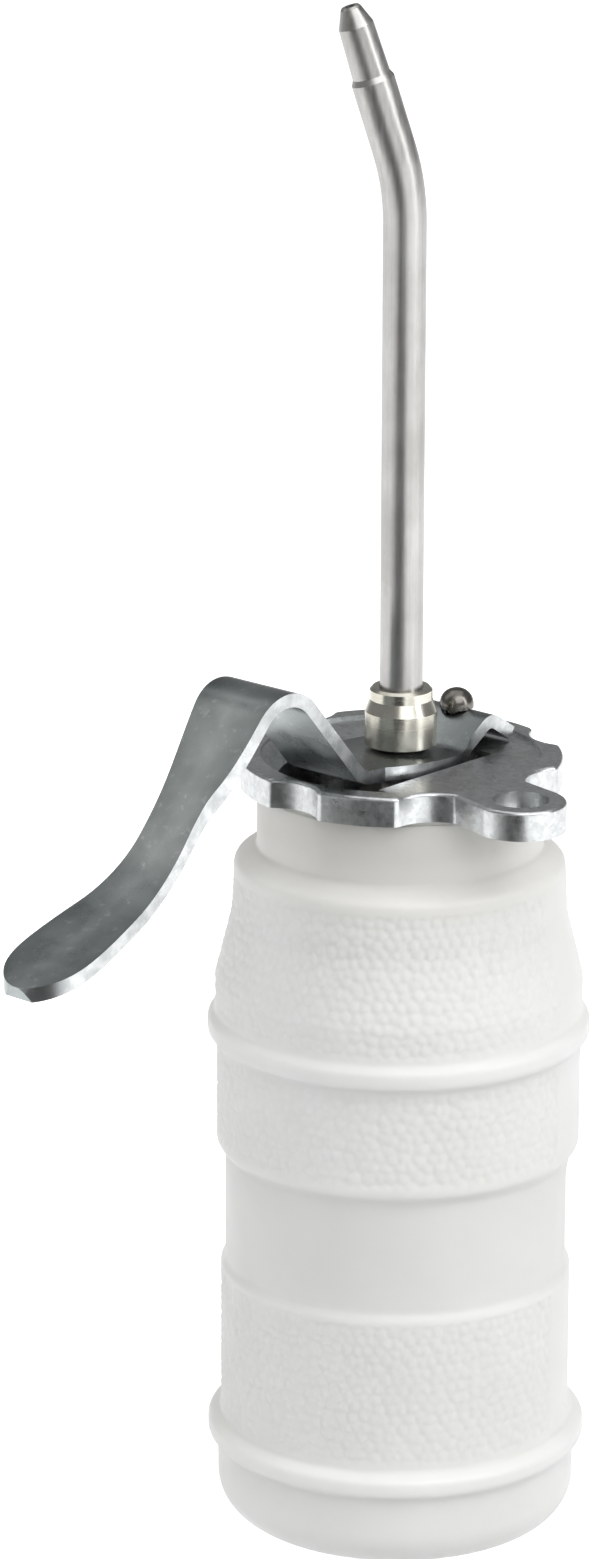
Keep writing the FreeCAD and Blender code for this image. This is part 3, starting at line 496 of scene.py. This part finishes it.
def pebble_mask(angles, heights):
    """1 where the grain is full, 0 on smooth plastic, eased over about a millimetre."""
    level = numpy.zeros_like(heights)
    for low, high in PEBBLE_BANDS:
        rise = ease(heights, low * MM, (low + GRAIN_FADE) * MM)
        fall = ease(heights, (high - GRAIN_FADE) * MM, high * MM)
        level = numpy.maximum(level, rise * (1 - fall))
    aside = angle_from_sight(angles)
    return level * ease(aside, SMOOTH_HALF_ANGLE, SMOOTH_HALF_ANGLE + math.radians(2.5))


def pebble_centres(radius, low, high):
    """Scattered pebble centres on the unrolled band, repeated past the seam so that it closes."""
    random.seed(7)
    around = 2 * math.pi * radius
    columns = round(around / PEBBLE_SIZE)
    rows = round((high - low) / (PEBBLE_SIZE * 0.87))
    centres = []
    for row in range(rows + 1):
        for column in range(columns):
            across = (column + 0.5 * (row % 2) + random.uniform(-0.33, 0.33)) * around / columns
            up = low + (row + random.uniform(-0.33, 0.33)) * (high - low) / rows
            centres.append((across % around, up))
    margin = 4 * PEBBLE_SIZE
    wrapped = [(x - around, z) for x, z in centres if x > around - margin]
    wrapped += [(x + around, z) for x, z in centres if x < margin]
    return centres + wrapped


def pebble_height(angles, heights, radius):
    """Pebble relief from 0 in the gaps to 1 on the crowns."""
    low, high = PEBBLE_BANDS[0][0] * MM, PEBBLE_BANDS[-1][1] * MM
    centres = pebble_centres(radius, low, high)
    tree = KDTree(len(centres))
    for index, (across, up) in enumerate(centres):
        tree.insert((across, up, 0), index)
    tree.balance()
    relief = numpy.zeros(len(angles))
    for index, (angle, height) in enumerate(zip(angles, heights)):
        (_, _, first), (_, _, second) = tree.find_n((angle * radius, height, 0), 2)
        gap = min((second - first) / (0.8 * PEBBLE_SIZE), 1.0)
        crown = max(0.0, 1 - (first / (0.62 * PEBBLE_SIZE)) ** 2)
        relief[index] = 0.35 * gap * (2 - gap) + 0.65 * crown
    return relief


def sight_recess(angles, heights):
    """Depth of the flat sight strip's recess, with rounded ends and a groove along each side."""
    low, high = SIGHT_HEIGHTS[0] * MM, SIGHT_HEIGHTS[1] * MM
    aside = angle_from_sight(angles) / SIGHT_HALF_ANGLE
    ends = 3.0 * MM * aside ** 2
    level = ease(heights, low + ends, low + ends + 0.7 * MM)
    level *= 1 - ease(heights, high - ends - 0.7 * MM, high - ends)
    border = numpy.exp(-((aside - 1) / SIGHT_BORDER_WIDTH) ** 2)
    return level * (SIGHT_DEPTH * (1 - ease(aside, 0.94, 1.0)) + SIGHT_BORDER_DEPTH * border)


def build_bottle_shell():
    """The bottle as one closed skin: grained outside, smooth inside, taken from the CAD outline."""
    node = frame["nodes"]["bottle"]
    tree = BVHTree.FromObject(node, bpy.context.evaluated_depsgraph_get())
    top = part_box("bottle")[1][2]
    back = SIGHT_DIRECTION + math.pi
    rows = round(top / SHELL_STEP)
    outer_heights = numpy.linspace(END_GAP, top - END_GAP, rows)
    outer = smoothed(ray_radii(tree, outer_heights, back, False), 2)
    inner_heights = numpy.linspace(top - END_GAP, INNER_FLOOR, SHELL_INNER_ROWS)
    inner = smoothed(ray_radii(tree, inner_heights, back, True), 1)
    angles = numpy.linspace(0, 2 * math.pi, SHELL_COLUMNS, endpoint=False)

    ring_angles, ring_heights = numpy.meshgrid(angles, outer_heights)
    radii = numpy.repeat(outer[:, None], SHELL_COLUMNS, axis=1)
    mask = pebble_mask(ring_angles, ring_heights)
    grained = mask > 0
    relief = numpy.ones_like(mask)
    relief[grained] = pebble_height(ring_angles[grained], ring_heights[grained], GRAIN_RADIUS)
    radii -= PEBBLE_DEPTH * mask * (1 - relief)
    radii -= sight_recess(ring_angles, ring_heights)

    foot = [(share * outer[0], 0.0) for share in (0.25, 0.5, 0.75, 0.92)]
    floor = [(share * inner[-1], inner_heights[-1]) for share in (0.92, 0.6, 0.3)]
    rings = [numpy.full(SHELL_COLUMNS, radius) for radius, _ in foot] + list(radii)
    levels = [height for _, height in foot] + list(outer_heights)
    rings += [numpy.full(SHELL_COLUMNS, radius) for radius in inner]
    levels += list(inner_heights)
    rings += [numpy.full(SHELL_COLUMNS, radius) for radius, _ in floor]
    levels += [height for _, height in floor]

    vertices = [(0, 0, 0)]
    for ring, level in zip(rings, levels):
        vertices += zip(ring * numpy.cos(angles), ring * numpy.sin(angles), [level] * SHELL_COLUMNS)
    vertices.append((0, 0, levels[-1]))
    faces = []
    for column in range(SHELL_COLUMNS):
        follower = (column + 1) % SHELL_COLUMNS
        faces.append((0, 1 + follower, 1 + column))
        for row in range(len(rings) - 1):
            start = 1 + row * SHELL_COLUMNS
            above = start + SHELL_COLUMNS
            faces.append((start + column, start + follower, above + follower, above + column))
        last = 1 + (len(rings) - 1) * SHELL_COLUMNS
        faces.append((last + column, last + follower, len(vertices) - 1))
    mesh = bpy.data.meshes.new("bottle_shell")
    mesh.from_pydata([tuple(map(float, vertex)) for vertex in vertices], [], faces)
    mesh.shade_smooth()
    shell = bpy.data.objects.new("bottle_shell", mesh)
    bpy.context.collection.objects.link(shell)
    return shell


def main():
    add_camera()
    add_studio()
    finishes = {
        "hdpe": milky_plastic(), "cast_zinc": cast_zinc(), "zinc_plate": sheet_zinc(),
        "nickel": turned_nickel(), "steel_tube": drawn_steel(), "dark_steel": dark_polish(),
        "brass": turned_brass(), "rubber": black_rubber(), "clear_hose": clear_hose(),
        "spring_steel": spring_wire(),
    }
    paint_nodes(finishes)
    soften_edges(["lever"], 0.8 * MM, 4)
    soften_edges(["spout_nut", "plunger_rod", "pump_cylinder", "guide_bush"], 0.15 * MM)
    shell = build_bottle_shell()
    shell.data.materials.append(finishes["hdpe"])
    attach(shell, "bottle_body")
    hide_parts("bottle")


main()
